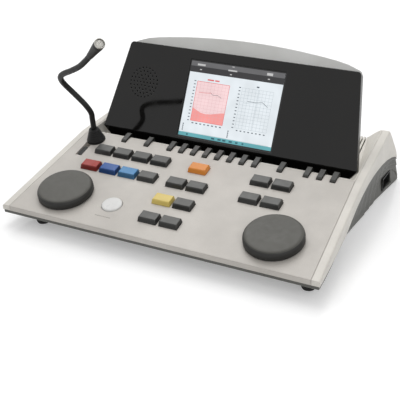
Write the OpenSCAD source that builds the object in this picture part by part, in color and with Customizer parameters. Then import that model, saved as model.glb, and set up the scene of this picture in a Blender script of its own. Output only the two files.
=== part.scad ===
// Two-channel audiometer console: a sloped key panel, a display that folds down into the
// rear deck, two large dials and a gooseneck microphone.
// Origin on the table under the middle of the console. X to the right, Y to the back, Z up.

/* [Case] */
// Width over the side rails at the front edge
case_w = 359; // [352:1:368]
// Width over the side rails at the back edge
rear_w = 328; // [322:1:334]
// Depth from the front edge to the back
case_d = 290; // [286:1:300]
// Height of the panel's front edge above the table
front_z = 23.4; // [22.5:0.1:26]
// Height of the light front lip
lip_h = 5.6; // [5:0.1:7]
// Width of each side rail
rail_w = 8.6; // [7:0.1:10]
// Seam between the panel and its neighbours
seam = 0.3; // [0.2:0.05:0.4]
// Wall of the moulded covers
wall = 2.4; // [2:0.1:2.8]
// Width of the base at its waist
waist_w = 325; // [318:1:332]
// Width of the base at the back edge
base_rear_w = 357; // [350:1:359]
// Depth of the sloping back
back_round = 24; // [18:1:28]

/* [Panel] */
// Slope of the key panel in degrees
panel_tilt = 12.8; // [11:0.1:14]
// Length of the key panel along its slope
panel_len = 150; // [148:1:152]
// Thickness of the panel plate
panel_t = 2.5; // [2:0.1:3]
// Slope of the rails behind the panel in degrees
deck_tilt = 5.1; // [4:0.1:6]

/* [Keys] */
// Width of a key cap
key_w = 20.8; // [17:0.2:21.4]
// Depth of a key cap along the slope
key_d = 13.2; // [10:0.2:14]
// Height of a key cap above the panel
key_h = 4.9; // [3.5:0.1:5.5]
// Distance between neighbouring keys
key_pitch = 24.1; // [23:0.1:25]
// Distance between the rows of keys
row_pitch = 30; // [28:0.5:31]
// Place of the front row, from the panel's front edge
first_row_v = 28.8; // [26:0.2:31]
// Gap round each key in its hole
key_gap = 0.4; // [0.3:0.05:0.6]
// Travel of the keys and the talk button
key_travel = 1.5; // [1:0.1:1.8]
// Width of a soft key
tab_w = 5.6; // [4.6:0.1:6.6]
// Distance between neighbouring soft keys
tab_pitch = 14.8; // [14:0.1:15]
// Diameter of the round talk button
talk_d = 22.3; // [20:0.1:25]

/* [Dials] */
// Diameter of each dial
dial_d = 60.6; // [54:0.2:62]
// Height of each dial
dial_h = 11; // [10:0.5:13]
// Distance of the left dial's centre from the left side
left_dial_in = 57.4; // [55:0.2:60]
// Distance of the right dial's centre from the right side
right_dial_in = 60.6; // [58:0.2:63]
// Distance of each dial's centre from the panel's front edge
dial_v = 38.8; // [37:0.2:41]
// Diameter of the spindles that carry the dials
spindle_d = 6; // [5:0.5:8]
// Radial clearance of each dial on its spindle
spindle_play = 0.05; // [0.02:0.01:0.09]

/* [Display] */
// Width of the picture
screen_w = 115.2; // [110:0.4:118]
// Height of the picture
screen_h = 86.4; // [82:0.4:90]
// Height of the picture's lower edge above the table
screen_z = 60.3; // [60:0.1:62]
// Distance of that edge from the panel's back edge, front to back
screen_gap = 26.4; // [26:0.1:27.5]
// Slope of the display at rest in degrees
display_tilt = 63.2; // [60:0.5:66]
// Width of the display along its lower edge
display_w = 317; // [310:1:318]
// Width of the display at the top of its dark front
display_top_w = 283; // [276:1:290]
// Height of the dark front
fascia_h = 113.5; // [108:0.5:116]
// Thickness of the dark front shell
fascia_t = 8; // [7:0.5:9]
// Depth of the light rear shell
shell_t = 13; // [12:0.5:13.5]
// Radius of the speaker grille
grille_r = 20; // [16:0.5:22]

/* [Microphone] */
// Diameter of the gooseneck
neck_d = 6.4; // [5.5:0.1:7]
// Diameter of the microphone's mouth
mic_d = 11.4; // [9:0.2:13]
// Length of the microphone's head
mic_len = 30; // [26:0.5:34]
// Height of the ribbed plug
plug_h = 16; // [14:0.5:18]
// Diameter of the ribbed plug at the panel
plug_d = 20.5; // [18:0.5:21]

/* [Rear panel] */
// Bore of the jack sockets, for a 6.35 mm plug
jack_bore = 6.4; // [6.38:0.01:6.6]
// Distance between the jack sockets
jack_pitch = 17; // [16.4:0.1:17.4]
// Number of jack sockets
jack_count = 10; // [6:1:10]

/* [Feet] */
// Diameter of the front feet where they meet the base
foot_d = 18; // [14:0.5:20]
// Distance of the left front foot from the left side
foot_left_in = 36; // [30:0.5:40]
// Distance of the right front foot from the right side
foot_right_in = 18; // [15:0.5:26]
// Thickness of the rear pads
pad_t = 1.2; // [1:0.1:2.4]

/* [Hidden] */
$fn = 48;
front_y = -case_d / 2;
panel_run = panel_len * cos(panel_tilt);
ridge_z = front_z + panel_len * sin(panel_tilt);
round_d = case_d - back_round;
crest_z = ridge_z + (round_d - panel_run) * tan(deck_tilt);

// The base: a thin plate in front on two feet, and a deep tray behind it
plate_z = front_z - lip_h - 3.7;
plate_end_d = case_d - 205;
tray_start_d = plate_end_d + 33;
tray_round_d = case_d - 4;
tray_inset = 0.8;
waist_d = 130;
tuck_d = 110;
arch_d = case_d - 95;
arch_half = 110;
arch_h = 42;
arch_power = 2.5;
belt_z = arch(case_d);
belt_top = belt_z + 2.2;
plan_r = 7;

// Trench in front of the display and the recess that it folds into
ramp_d = panel_run + 3;
ramp_z = ridge_z - 1.2;
floor_d = ramp_d + 18.7;
floor_z = 34;
floor_tilt = 10.2;
wall_foot = 6.5;
wall_slope = 1.2;

// Hinge line of the display, behind and below the picture's lower edge
hinge_back = 12;
hinge_drop = 12;
screen_d = panel_run + screen_gap;
hinge_d = screen_d - hinge_drop * cos(display_tilt) + hinge_back * sin(display_tilt);
hinge_z = screen_z - hinge_drop * sin(display_tilt) - hinge_back * cos(display_tilt);
hinge_x = 105;
pin_r = 2;
pin_play = 0.05;
knuckle_r = 5;
knuckle_w = 12;
ear_w = 4;
ear_gap = 0.4;
fascia_low = -2.5;
fascia_top = fascia_low + fascia_h;
rim_rise = 17.4;
rim_r = 790;
corner_r = 4.5;
fascia_front = hinge_back;
fascia_back = fascia_front - fascia_t;
edge_v = 7;
edge_in = 10;
shell_back = fascia_back - shell_t;
front_skin = 2.4;
window_gap = 1.6;
grille_x = -114.3;
grille_v = 65;
hole_r = 0.9;
grille_step = 4.4;

// Keys: [name, column place, row, colour]
left_x = 58.3 - case_w / 2;
mid_x = -13.6;
right_x = case_w / 2 - 108.3;
dark = "#4b4b49";
KEYS = [
  for (i = [0:3]) [str("key_back_", i + 1), left_x + i * key_pitch, 3, dark],
  ["key_back_5", mid_x + key_pitch / 2, 3, "#eb963c"],
  for (i = [0:1]) [str("key_back_", i + 6), right_x + i * key_pitch, 3, dark],
  ["key_third_1", left_x, 2, "#aa372d"],
  ["key_third_2", left_x + key_pitch, 2, "#285aa0"],
  ["key_third_3", left_x + 2 * key_pitch, 2, "#4b8cbe"],
  ["key_third_4", left_x + 3 * key_pitch, 2, dark],
  for (i = [0:1]) [str("key_third_", i + 5), mid_x + i * key_pitch, 2, dark],
  for (i = [0:1]) [str("key_third_", i + 7), right_x + i * key_pitch, 2, dark],
  ["key_second_1", mid_x, 1, "#e1c86e"],
  ["key_second_2", mid_x + key_pitch, 1, dark],
  for (i = [0:1]) [str("key_front_", i + 1), mid_x + i * key_pitch, 0, dark]
];
flange = 1;
flange_t = 1;
flange_h = -panel_t - 0.3;
mat_h = flange_h - flange_t - key_travel - 0.3;
mat_t = 1.2;
board_t = 1.6;
board_half = case_w / 2 - 21.5;
board_h = mat_h - mat_t;

// Soft keys, on the grid places that hold one
TAB_PLACES = [-8, -6, -4, -3, -2, -1, 0, 1, 2, 3, 5, 7, 8, 9];
tab_x0 = 8.2;
TABS = [for (i = [0:len(TAB_PLACES) - 1]) [str("soft_key_", i + 1), tab_x0 + TAB_PLACES[i] * tab_pitch]];
tab_front = 9;
tab_back = 8.4;
tab_h = 2.2;
tab_low = -3.8;

// Dials and the talk button
dial_gap = 0.6;
bush_r = spindle_d / 2 + 1.5;
spindle_h = 8;
talk_x = 116.3 - case_w / 2;
talk_v = 36.8;
talk_h = 1.8;

// Microphone: its plug stands square on the panel, and the neck follows a smooth route
plug_x = 35.5 - case_w / 2;
plug_v = panel_len - 14;
socket_bore = 6.4;
plug_pin = socket_bore - 0.1;
dock_x = plug_x - 4.5;
dock_v = plug_v - 19.8;
dock_w = 8;
dock_len = 25;
neck_seat = 2.9;
plug_seat = panel_point(plug_x, plug_v, plug_h - neck_seat + 0.45);
// The neck's points, from its seat in the plug
NECK_WAY = [
  [0, 0, 0],
  [1.5, -3.7, 13.8],
  [2.5, -6.7, 23.8],
  [0, -11.7, 33.8],
  [-5.5, -15.7, 42.8],
  [-12, -19.7, 51.8],
  [-16, -25.7, 60.8],
  [-16, -31.7, 68.3],
  [-12.5, -36.7, 74.3],
  [-5, -40.7, 79.8],
  [8.5, -45.7, 86.3],
  [23, -50.7, 94.3],
  [34, -54.7, 102.8],
  [42, -57.7, 109.8]
];
NECK = [for (p = NECK_WAY) plug_seat + p];
neck_joint = 5;
neck_steps = 3;
neck_sides = 12;
mic_dir = unit([25, -12, 23]);

// Rear connector panel
port_d = case_d - 8.5;
port_low = 5.8;
port_high = belt_z - 1.7;
port_half = rear_w / 2 - 46;
jack_x0 = 7 - port_half;
jack_z = 16.6;
jack_r = 5.6;
jack_box_w = 13;
jack_box_h = 12;
jack_len = 24;
usb_x = port_half - 52;
lan_x = port_half - 32;
power_x = port_half - 11;

// Main board
board_z = 9;
main_t = 1.6;
main_start = tray_start_d + 34;
main_half = port_half + 4;

// Grip pockets in the sides of the base
pocket_d = case_d - 37;
pocket_len = 28;
pocket_z = 4;
pocket_high = 15.5;
pocket_deep = 14;
pocket_wall = 1.4;
step_deep = 1;

// Fasteners
screw_r = 1.5;
SCREW_PLACES = [[main_half + 10, tray_start_d + 14], [main_half + 10, case_d - 85], [main_half + 6, case_d - 28]];
SCREWS = [for (s = [-1, 1], p = SCREW_PLACES) [s * p[0], p[1]]];

// ---- shared geometry ----

function unit(v) = v / norm(v);
function smooth(t) = let (c = min(1, max(0, t))) c * c * (3 - 2 * c);
function panel_point(u, v, h) =
  [u, front_y + v * cos(panel_tilt) - h * sin(panel_tilt), front_z + v * sin(panel_tilt) + h * cos(panel_tilt)];

// Heights and half widths of the case at a distance d behind the front edge
function line_z(d) = d < panel_run ? front_z + d * tan(panel_tilt) : ridge_z + (d - panel_run) * tan(deck_tilt);
function back_fall(d) = max(0, 1 - pow(max(0, d - round_d) / back_round, 1.3));
function top_z(d) = d < round_d ? line_z(d) : belt_top + (crest_z - belt_top) * back_fall(d);
function dial_x(s) = s < 0 ? left_dial_in - case_w / 2 : case_w / 2 - right_dial_in;
function half_w(d) = case_w / 2 - (case_w - rear_w) / 2 * d / case_d;
function base_half(d) =
  waist_w / 2 + (base_rear_w - waist_w) / 2 * pow(max(0, d - waist_d) / (case_d - waist_d), 1.3);
function plan_cut(d) = plan_r - sqrt(max(0, plan_r * plan_r - pow(max(0, d - case_d + plan_r), 2)));
function side_lean(d, z) = pow(max(0, 1 - z / line_z(d)), 3 - 1.8 * smooth((d - tuck_d) / 100));
function side_x(d, z) =
  half_w(d) - plan_cut(d) + smooth(d / tuck_d) * (base_half(d) - half_w(d)) * side_lean(d, z);
function arch(d) = arch_h * pow(max(0, 1 - pow(abs(d - arch_d) / arch_half, arch_power)), 1 / arch_power);
function split_z(d) = d < arch_d ? max(front_z - lip_h + d * 0.03, arch(d)) : arch(d);
function tray_low(d) =
  d < tray_start_d ? plate_z + (pad_t - plate_z) * smooth((d - plate_end_d) / (tray_start_d - plate_end_d))
  : pad_t + 3 * (1 - sqrt(max(0, 1 - pow(max(0, d - tray_round_d) / (case_d - tray_round_d + 0.5), 2))));

// A solid through equal rings of points, from the front one to the back one
module loft(rings) {
  n = len(rings[0]);
  last = (len(rings) - 1) * n;
  polyhedron(
    points = [for (r = rings) each r],
    faces = [
      [for (i = [n - 1:-1:0]) i],
      [for (i = [0:n - 1]) last + i],
      for (j = [0:len(rings) - 2], i = [0:n - 1]) [j * n + i, j * n + (i + 1) % n, (j + 1) * n + (i + 1) % n],
      for (j = [0:len(rings) - 2], i = [0:n - 1]) [j * n + i, (j + 1) * n + (i + 1) % n, (j + 1) * n + i]
    ]
  );
}

// Moves a child into the panel's frame: X across, Y up the slope, Z out of the panel
module on_panel(u = 0, v = 0, h = 0) {
  translate([0, front_y, front_z])
    rotate([panel_tilt, 0, 0])
      translate([u, v, h])
        children();
}

// Moves a child into the display's frame: Y up the display, Z out of its front
module on_display() {
  translate([0, front_y + hinge_d, hinge_z])
    rotate([display_tilt, 0, 0])
      children();
}

module box_at(low, high) {
  translate(low)
    cube(high - low);
}

// ---- case ----

module panel_outline() {
  polygon([for (p = [[-1, 0], [1, 0], [1, panel_len], [-1, panel_len]])
    [p[0] * (half_w(p[1] * cos(panel_tilt)) - rail_w - seam), p[1]]]);
}

module key_hole(k) {
  translate([k[1], first_row_v + k[2] * row_pitch])
    square([key_w + 2 * key_gap, key_d + 2 * key_gap], center = true);
}

module tab_notch(t) {
  translate([t[1] - tab_w / 2 - key_gap, panel_len - tab_front - key_gap])
    square([tab_w + 2 * key_gap, tab_front + 20]);
}

module front_panel() {
  color("#cdc8c2") {
    on_panel(h = -panel_t)
      linear_extrude(panel_t)
        difference() {
          panel_outline();
          for (k = KEYS) key_hole(k);
          for (t = TABS) tab_notch(t);
          for (s = [-1, 1]) translate([dial_x(s), dial_v]) circle(bush_r + 0.3);
          translate([talk_x, talk_v]) circle(talk_d / 2 + key_gap);
          translate([plug_x, plug_v]) circle(socket_bore / 2 + 1.9);
          translate([dock_x, dock_v]) square([dock_w, dock_len], center = true);
        }
    lip_half = half_w(0) - rail_w - seam;
    box_at([-lip_half, front_y, front_z - lip_h], [lip_half, front_y + panel_t, front_z - 0.2]);
    on_panel(dock_x, dock_v, -panel_t - 4)
      difference() {
        translate([-dock_w / 2 - 1.2, -dock_len / 2 - 1.2, 0])
          cube([dock_w + 2.4, dock_len + 2.4, 4]);
        translate([-dock_w / 2, -dock_len / 2, 1])
          cube([dock_w, dock_len, 4]);
      }
    for (p = POSTS) on_panel(p[0], p[1], board_h) cylinder(r = 2.6, h = -board_h - panel_t);
  }
}
POSTS = [
  for (s = [-1, 1]) [s * (board_half - 3), 66],
  [board_half - 3, 14],
  for (u = [talk_x - 20, 39], v = [14, 74]) [u, v],
  for (u = [-31, 71]) [u, panel_len - 16]
];

// Distances shared by the rails and the base, so that their edges run side by side
arch_start = arch_d - arch_half;
arch_full = arch_start + 60;
side_stations = concat(
  [for (k = [0:9]) arch_start + (arch_full - arch_start) * pow(k / 9, 1.6)],
  [for (k = [1:7]) arch_full + (round_d - arch_full) * k / 7],
  [for (k = [1:4]) round_d + (case_d - round_d) * k / 5],
  [for (k = [1.2, 0.5, 0]) case_d - k]
);

// One side rail with the light side wall under it, at the right
function rail_ring(d) = let (
    top = top_z(d),
    low = min(split_z(d), top - 2),
    x = half_w(d) - plan_cut(d),
    inner = half_w(d) - rail_w,
    outer = side_x(d, low),
    mid = (low + top) / 2,
    full = d < panel_t + seam,
    drop = full ? top - low : min(5, (top - low) * 0.6),
    section = [
      [inner, top],
      [inner, top - drop],
      [outer - 3, low + (full ? 0.05 : 1)],
      [outer - 3, low],
      [outer, low],
      [side_x(d, mid), mid],
      [side_x(d, top - 1.6), top - 1.6],
      [x - 0.5, top - 0.5],
      [x - 1.6, top]
    ]
  ) [for (p = section) [p[0], front_y + d, p[1]]];
rail_stations = concat([0, panel_t, panel_t + seam + 0.1, for (k = [1:4]) arch_start * k / 5], side_stations);

module side_rails() {
  color("#e2ded6")
    for (m = [0, 1])
      mirror([m, 0, 0])
        loft([for (d = rail_stations) rail_ring(d)]);
}

module deck_profile(drop) {
  polygon(concat(
    [for (d = [panel_run + 0.9 - drop, floor_d, for (a = [0:15:75]) round_d + back_round * sin(a), case_d])
      [d - drop * max(0, d - round_d) / back_round, top_z(d) - 0.4 - drop]],
    [[case_d - drop, belt_z - drop], [panel_run + 0.9 - drop, belt_z - drop]]
  ));
}

module deck_plan(inset, low) {
  translate([0, front_y, low])
    linear_extrude(100)
      polygon([for (p = [[-1, panel_run], [1, panel_run], [1, case_d + 1], [-1, case_d + 1]])
        [p[0] * (half_w(p[1]) - rail_w - seam - inset), p[1]]]);
}

// Extrudes a [distance, height] outline across the case
module across(half) {
  translate([-half, front_y, 0])
    rotate([90, 0, 90])
      linear_extrude(2 * half)
        children();
}

function display_half(v) = display_w / 2 - (display_w - display_top_w) / 2 * (v - fascia_low) / fascia_h;

// The trench is as wide as the rails allow. Behind it the sides lean outwards round the folded display
slope_d = hinge_d + 9;
lean_d = hinge_d - 5;
lean_end_d = case_d + 12;
function recess_half(d, grow) = half_w(d) - rail_w - seam - 1.6 + grow;
function lean_x(d, z) =
  display_half(d - hinge_d) - wall_foot + (z - floor_z - (d - slope_d) * tan(floor_tilt)) / wall_slope;

module recess(grow) {
  rise = (lean_end_d - slope_d) * tan(floor_tilt);
  intersection() {
    across(case_w / 2)
      polygon([[ramp_d - grow, 100], [ramp_d - grow, ramp_z - 0.4 * grow], [floor_d - 0.4 * grow, floor_z - grow],
               [slope_d, floor_z - grow], [lean_end_d, floor_z - grow + rise], [lean_end_d, 100]]);
    translate([0, front_y, 0])
      linear_extrude(120)
        polygon([for (p = [[-1, ramp_d - 9], [1, ramp_d - 9], [1, lean_end_d + 1], [-1, lean_end_d + 1]])
          [p[0] * recess_half(p[1], grow), p[1]]]);
    union() {
      box_at([-case_w, front_y + ramp_d - 20, 0], [case_w, front_y + lean_d + grow, 120]);
      loft([for (d = [lean_d, lean_end_d])
        [for (p = [[-1, 110], [-1, 25], [1, 25], [1, 110]]) [p[0] * (lean_x(d, p[1]) + 1.3 * grow), front_y + d, p[1]]]]);
    }
  }
}

module rear_deck() {
  vent_len = 50;
  vent_pitch = 3.8;
  vent_end = case_d - 9;
  color("#dedad2")
    difference() {
      intersection() {
        across(case_w / 2) deck_profile(0);
        deck_plan(0, 0);
      }
      recess(0);
      difference() {
        union() {
          intersection() {
            across(case_w / 2) deck_profile(wall);
            deck_plan(wall, 0);
          }
          box_at([-case_w / 2, front_y + panel_run, 0], [case_w / 2, front_y + case_d - 8, arch_h + 1]);
          box_at([-case_w / 2, front_y + panel_run, 0], [case_w / 2, front_y + case_d + 1, belt_z + 0.6]);
        }
        recess(wall);
      }
      for (t = TABS)
        on_panel(0, 0, tab_low - key_travel - 0.4)
          linear_extrude(40)
            tab_notch(t);
      for (s = [-1, 1], i = [0:4])
        translate([s * (display_half(vent_end - hinge_d) - wall_foot - 1.5 - i * vent_pitch), front_y + vent_end, 30])
          rotate([0, 0, s * 4])
            translate([-0.7, -vent_len, 0])
              cube([1.4, vent_len, 40]);
    }
}

// Rings of the base: its outside at an inset from the sides, or its hollow
function tray_ring(d, inset, floor_t, over) = let (
    low = tray_low(d) + floor_t,
    high = max(split_z(d) + over, low + 0.5)
  ) [for (p = [[-1, high], [-1, low], [1, low], [1, high]])
      [p[0] * (side_x(d, min(high, split_z(d))) - (p[1] == low ? side_x(d, split_z(d)) - side_x(d, low) : 0) - tray_inset - inset),
       front_y + d, p[1]]];
tray_stations = concat([1, for (k = [1:3]) arch_start * k / 4], side_stations);

module tray_solid(inset) {
  loft([for (d = tray_stations) tray_ring(d, inset, 0, -seam)]);
}

// Arch-shaped steps in both sides of the base
module arch_prism(k) {
  a = [64, 50, 37][k];
  b = [33.5, 28.5, 23.5][k];
  translate([-case_w / 2, front_y + case_d - [44, 42, 40][k], 0])
    rotate([90, 0, 90])
      linear_extrude(case_w)
        polygon([for (t = [0:10:180]) [a * cos(t), b * sin(t)]]);
}

module pocket_box(grow, deep) {
  for (s = [0, 1])
    mirror([s, 0, 0])
      box_at([side_x(pocket_d, pocket_z) - deep, front_y + pocket_d - pocket_len / 2 - grow, pocket_z - grow],
             [case_w / 2 + 5, front_y + pocket_d + pocket_len / 2 + grow, pocket_z + pocket_high + grow]);
}

module port_box(grow) {
  box_at([-port_half - grow, front_y + port_d - grow, port_low - grow],
         [port_half + grow, front_y + case_d + 5, port_high + grow]);
}

module jack_place(i) {
  translate([jack_x0 + i * jack_pitch, front_y + port_d, jack_z])
    rotate([-90, 0, 0])
      children();
}

module tray_hollow() {
  hollow_stations = concat([for (d = tray_stations) if (d > 3 && d < case_d - 4.5) d], [case_d - 4]);
  difference() {
    loft([for (d = concat([1 + wall], hollow_stations)) tray_ring(d, 3 * step_deep + 1.8, 1.8, 8)]);
    port_box(2);
    pocket_box(pocket_wall, pocket_deep + pocket_wall);
    for (p = STANDOFFS) translate([p[0], front_y + p[1], 0]) cylinder(r = 3, h = board_z);
    for (p = SCREWS) translate([p[0], front_y + p[1], 0]) cylinder(r = 4.5, h = 12);
  }
}
STANDOFFS = [for (x = [-1, 0, 1], d = [main_start + 20, case_d - 50]) [x * (main_half - 12), d]];

module base_tray() {
  color("#5c5c58")
    difference() {
      union() {
        difference() {
          tray_solid(0);
          arch_prism(0);
        }
        difference() {
          tray_solid(step_deep);
          arch_prism(1);
        }
        difference() {
          tray_solid(2 * step_deep);
          arch_prism(2);
        }
        tray_solid(3 * step_deep);
      }
      tray_hollow();
      port_box(0);
      pocket_box(0, pocket_deep);
      box_at([rail_w - rear_w / 2, front_y + port_d - 4, belt_z - seam], [rear_w / 2 - rail_w, front_y + case_d + 1, arch_h]);
      for (i = [0:jack_count - 1]) jack_place(i) translate([0, 0, -8]) cylinder(r = jack_r - 0.8, h = 10);
      for (p = PORTS)
        box_at([p[0] - p[1] / 2 - 0.2, front_y + port_d - 6, jack_z - p[2] / 2 - 0.2],
               [p[0] + p[1] / 2 + 0.2, front_y + port_d + 3, jack_z + p[2] / 2 + 0.2]);
      for (p = SCREWS) translate([p[0], front_y + p[1], pad_t - 1]) {
        cylinder(r = screw_r + 0.1, h = 9);
        cylinder(r = 3.1, h = 3);
      }
    }
}

module side_pockets() {
  color("#1e1e1e")
    for (s = [0, 1])
      mirror([s, 0, 0]) {
        x = side_x(pocket_d, pocket_z) - pocket_deep;
        low = [x + 0.1, front_y + pocket_d - pocket_len / 2 + 0.1, pocket_z + 0.1];
        high = [x + pocket_deep - 4.5, front_y + pocket_d + pocket_len / 2 - 0.1, pocket_z + pocket_high - 0.1];
        difference() {
          box_at(low, high);
          box_at(low + [pocket_wall, pocket_wall, pocket_wall], high + [1, -pocket_wall, -pocket_wall]);
        }
      }
}

module feet() {
  color("#202020") {
    for (x = [foot_left_in - case_w / 2, case_w / 2 - foot_right_in])
      translate([x, front_y + foot_d + 3, 0])
        rotate_extrude()
          polygon([[0, 0], [foot_d / 2 - 4, 0], [foot_d / 2 - 2.8, 0.5], [foot_d / 2 - 2, 2], [foot_d / 2, plate_z - 3],
                   [foot_d / 2, plate_z], [0, plate_z]]);
    for (s = [-1, 1])
      translate([s * (rear_w / 2 - 16), front_y + case_d - 32, 0])
        cylinder(r = 8, h = pad_t);
  }
}

module case_screws() {
  color("#8c8c8c")
    for (p = SCREWS)
      translate([p[0], front_y + p[1], pad_t]) {
        cylinder(r = 2.8, h = 1.9);
        cylinder(r = screw_r, h = 7.5);
      }
}

// ---- rear connectors and boards ----

module connector_plate() {
  color("#2b2b2b")
    difference() {
      box_at([-port_half + 0.3, front_y + port_d + 0.05, port_low + 0.3],
             [port_half - 0.3, front_y + port_d + 1.5, port_high - 0.3]);
      for (i = [0:jack_count - 1]) jack_place(i) translate([0, 0, -1]) cylinder(r = jack_r + 0.1, h = 5);
      for (p = PORTS)
        box_at([p[0] - p[1] / 2 - 0.3, front_y + port_d - 1, jack_z - p[2] / 2 - 0.3],
               [p[0] + p[1] / 2 + 0.3, front_y + port_d + 5, jack_z + p[2] / 2 + 0.3]);
    }
}
// Data and power ports: place, width, height
PORTS = [[usb_x, 12, 11], [lan_x, 16, 12], [power_x, 11, 11]];

module jack_sockets() {
  color("#9a9a9a")
    for (i = [0:jack_count - 1])
      jack_place(i)
        difference() {
          union() {
            translate([0, 0, 0.05]) cylinder(r = jack_r, h = 4);
            translate([0, 0, -3]) cylinder(r = jack_r - 0.9, h = 4);
            translate([-jack_box_w / 2, -jack_box_h / 2, -jack_len]) cube([jack_box_w, jack_box_h / 2 + jack_z - board_z - main_t, jack_len - 2.1]);
          }
          translate([0, 0, -jack_len + 1.5]) cylinder(d = jack_bore, h = jack_len + 5);
        }
}

module data_ports() {
  color("#b4b4b0")
    for (p = PORTS)
      translate([p[0], front_y + port_d + 1.5, jack_z])
        difference() {
          translate([-p[1] / 2, -15, -p[2] / 2]) cube([p[1], 15.6, p[2]]);
          translate([-p[1] / 2 + 1, -11, -p[2] / 2 + 1]) cube([p[1] - 2, 12, p[2] - 2]);
        }
}

module main_board() {
  color("#2f6b45")
    difference() {
      union() {
        box_at([-main_half, front_y + main_start, board_z], [main_half, front_y + port_d - 3, board_z + main_t]);
        for (c = [[-90, 38, 18, 18, 3], [-40, 33, 28, 28, 2.4], [20, 48, 22, 14, 3], [70, 28, 30, 20, 9], [96, 63, 16, 16, 12],
                  [-100, 73, 12, 24, 8], [-20, 80, 40, 12, 4]])
          translate([c[0], front_y + main_start + c[1], board_z + main_t - 0.1])
            cube([c[2], c[3], c[4]]);
        for (x = [-70:20:50])
          translate([x, front_y + main_start + 14, board_z + main_t - 0.1])
            cylinder(r = 4, h = 11);
      }
      for (p = PORTS)
        box_at([p[0] - p[1] / 2 - 0.4, front_y + port_d - 14, 0], [p[0] + p[1] / 2 + 0.4, front_y + port_d, 12]);
    }
}

module board_outline(grow) {
  difference() {
    translate([-board_half, 14]) square([2 * board_half, panel_len - 17]);
    translate([plug_x, plug_v]) circle(8 + grow);
    translate([dock_x, dock_v]) square([dock_w + 4, dock_len + 4], center = true);
    for (p = [[-1, 0], [1, 0]]) translate([p[0] * board_half, 0]) rotate(45) square(30, center = true);
  }
}

module key_board() {
  color("#2f6b45")
    on_panel(h = board_h - board_t) {
      linear_extrude(board_t) board_outline(0);
      for (s = [-1, 1])
        translate([dial_x(s), dial_v, board_t]) {
          translate([-7, -7, -0.1]) cube([14, 14, -board_h - panel_t - 0.2]);
          cylinder(r = bush_r, h = -board_h + 0.3);
          cylinder(d = spindle_d, h = -board_h + spindle_h);
        }
    }
}

module key_mat() {
  color("#7c7c78")
    on_panel(h = mat_h - mat_t) {
      linear_extrude(mat_t)
        difference() {
          translate([8 - board_half, 18]) square([2 * board_half - 16, panel_len - 26]);
          for (s = [-1, 1]) translate([dial_x(s), dial_v]) square(15, center = true);
          for (p = POSTS) translate([p[0], p[1]]) circle(3.2);
          translate([plug_x, plug_v]) circle(9);
          translate([dock_x, dock_v]) square([dock_w + 5, dock_len + 5], center = true);
        }
      for (k = KEYS)
        translate([k[1], first_row_v + k[2] * row_pitch, mat_t - 0.1])
          cylinder(r1 = 5, r2 = 3, h = 0.3);
    }
}

// ---- controls ----

// Key cap with a long sloped front and chamfered sides
module key(k) {
  low = flange_h - flange_t;
  color(k[3])
    on_panel(k[1], first_row_v + k[2] * row_pitch) {
      intersection() {
        translate([-key_w / 2, 0, 0])
          rotate([90, 0, 90])
            linear_extrude(key_w)
              polygon([[-key_d / 2, low], [key_d / 2, low], [key_d / 2, key_h - 0.8], [key_d / 2 - 0.7, key_h],
                       [-key_d / 2 + 2.4, key_h - 0.1], [-key_d / 2 + 1.5, key_h - 0.9], [-key_d / 2 + 0.3, 0.8], [-key_d / 2, 0.4]]);
        translate([0, key_d, 0])
          rotate([90, 0, 0])
            linear_extrude(2 * key_d)
              polygon([[-key_w / 2, low], [key_w / 2, low], [key_w / 2, 0.6], [key_w / 2 - 0.6, key_h - 0.5], [key_w / 2 - 1.1, key_h],
                       [-key_w / 2 + 1.1, key_h], [-key_w / 2 + 0.6, key_h - 0.5], [-key_w / 2, 0.6]]);
      }
      translate([-key_w / 2 - flange, -key_d / 2 - flange, low])
        cube([key_w + 2 * flange, key_d + 2 * flange, flange_t]);
    }
}

// Narrow soft key that reaches from the panel over the trench
module soft_key(t) {
  r = tab_w / 2;
  color("#3c3c3a")
    on_panel(t[1], panel_len) {
      translate([-r, 0, 0])
        rotate([90, 0, 90])
          linear_extrude(tab_w)
            polygon([[-tab_front + 1, tab_low], [tab_back, tab_low], [tab_back, 0.4], [tab_back - 1.5, tab_h],
                     [-tab_front + 2.4, tab_h], [-tab_front + 0.5, 1.2], [-tab_front + 0.5, tab_low + 1]]);
      translate([-r, -tab_front + 0.1, tab_low])
        cube([tab_w, 2.5, 0.9 - tab_low]);
      translate([-r - 1.2, -tab_front + 1, tab_low])
        cube([tab_w + 2.4, 4, 1]);
    }
}

module talk_button() {
  low = flange_h - flange_t;
  color("#ebebeb")
    on_panel(talk_x, talk_v)
      rotate_extrude($fn = 72)
        polygon([[0, low], [talk_d / 2 + flange, low], [talk_d / 2 + flange, flange_h], [talk_d / 2, flange_h],
                 [talk_d / 2, talk_h - 1.2], [talk_d / 2 - 0.8, talk_h - 0.3], [talk_d / 2 - 2.2, talk_h - 0.1], [0, talk_h]]);
}

// Dial with a rounded edge and a slightly domed top, on its spindle
module dial(s) {
  r = dial_d / 2;
  edge = 5;
  color("#4a4845")
    on_panel(dial_x(s), dial_v)
      rotate_extrude($fn = 96)
        polygon(concat(
          [[spindle_d / 2 + spindle_play, dial_gap], [bush_r + 2, dial_gap], [bush_r + 2, dial_gap + 3], [r - 3, dial_gap + 3],
           [r - 3, dial_gap], [r - 0.8, dial_gap], [r, dial_gap + 0.8]],
          [for (a = [0:15:90]) [r - edge + edge * cos(a), dial_gap + dial_h - 1 - edge + edge * sin(a)]],
          [[r * 0.5, dial_gap + dial_h - 0.2], [0, dial_gap + dial_h], [0, spindle_h + 0.8], [spindle_d / 2 + spindle_play, spindle_h + 0.8]]
        ));
}

// ---- display ----

// Points of a rounded corner about a centre, a quarter turn long
function corner(x, y) = [for (a = [0:15:90]) [x + corner_r * cos(a), y + corner_r * sin(a)]];

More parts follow.
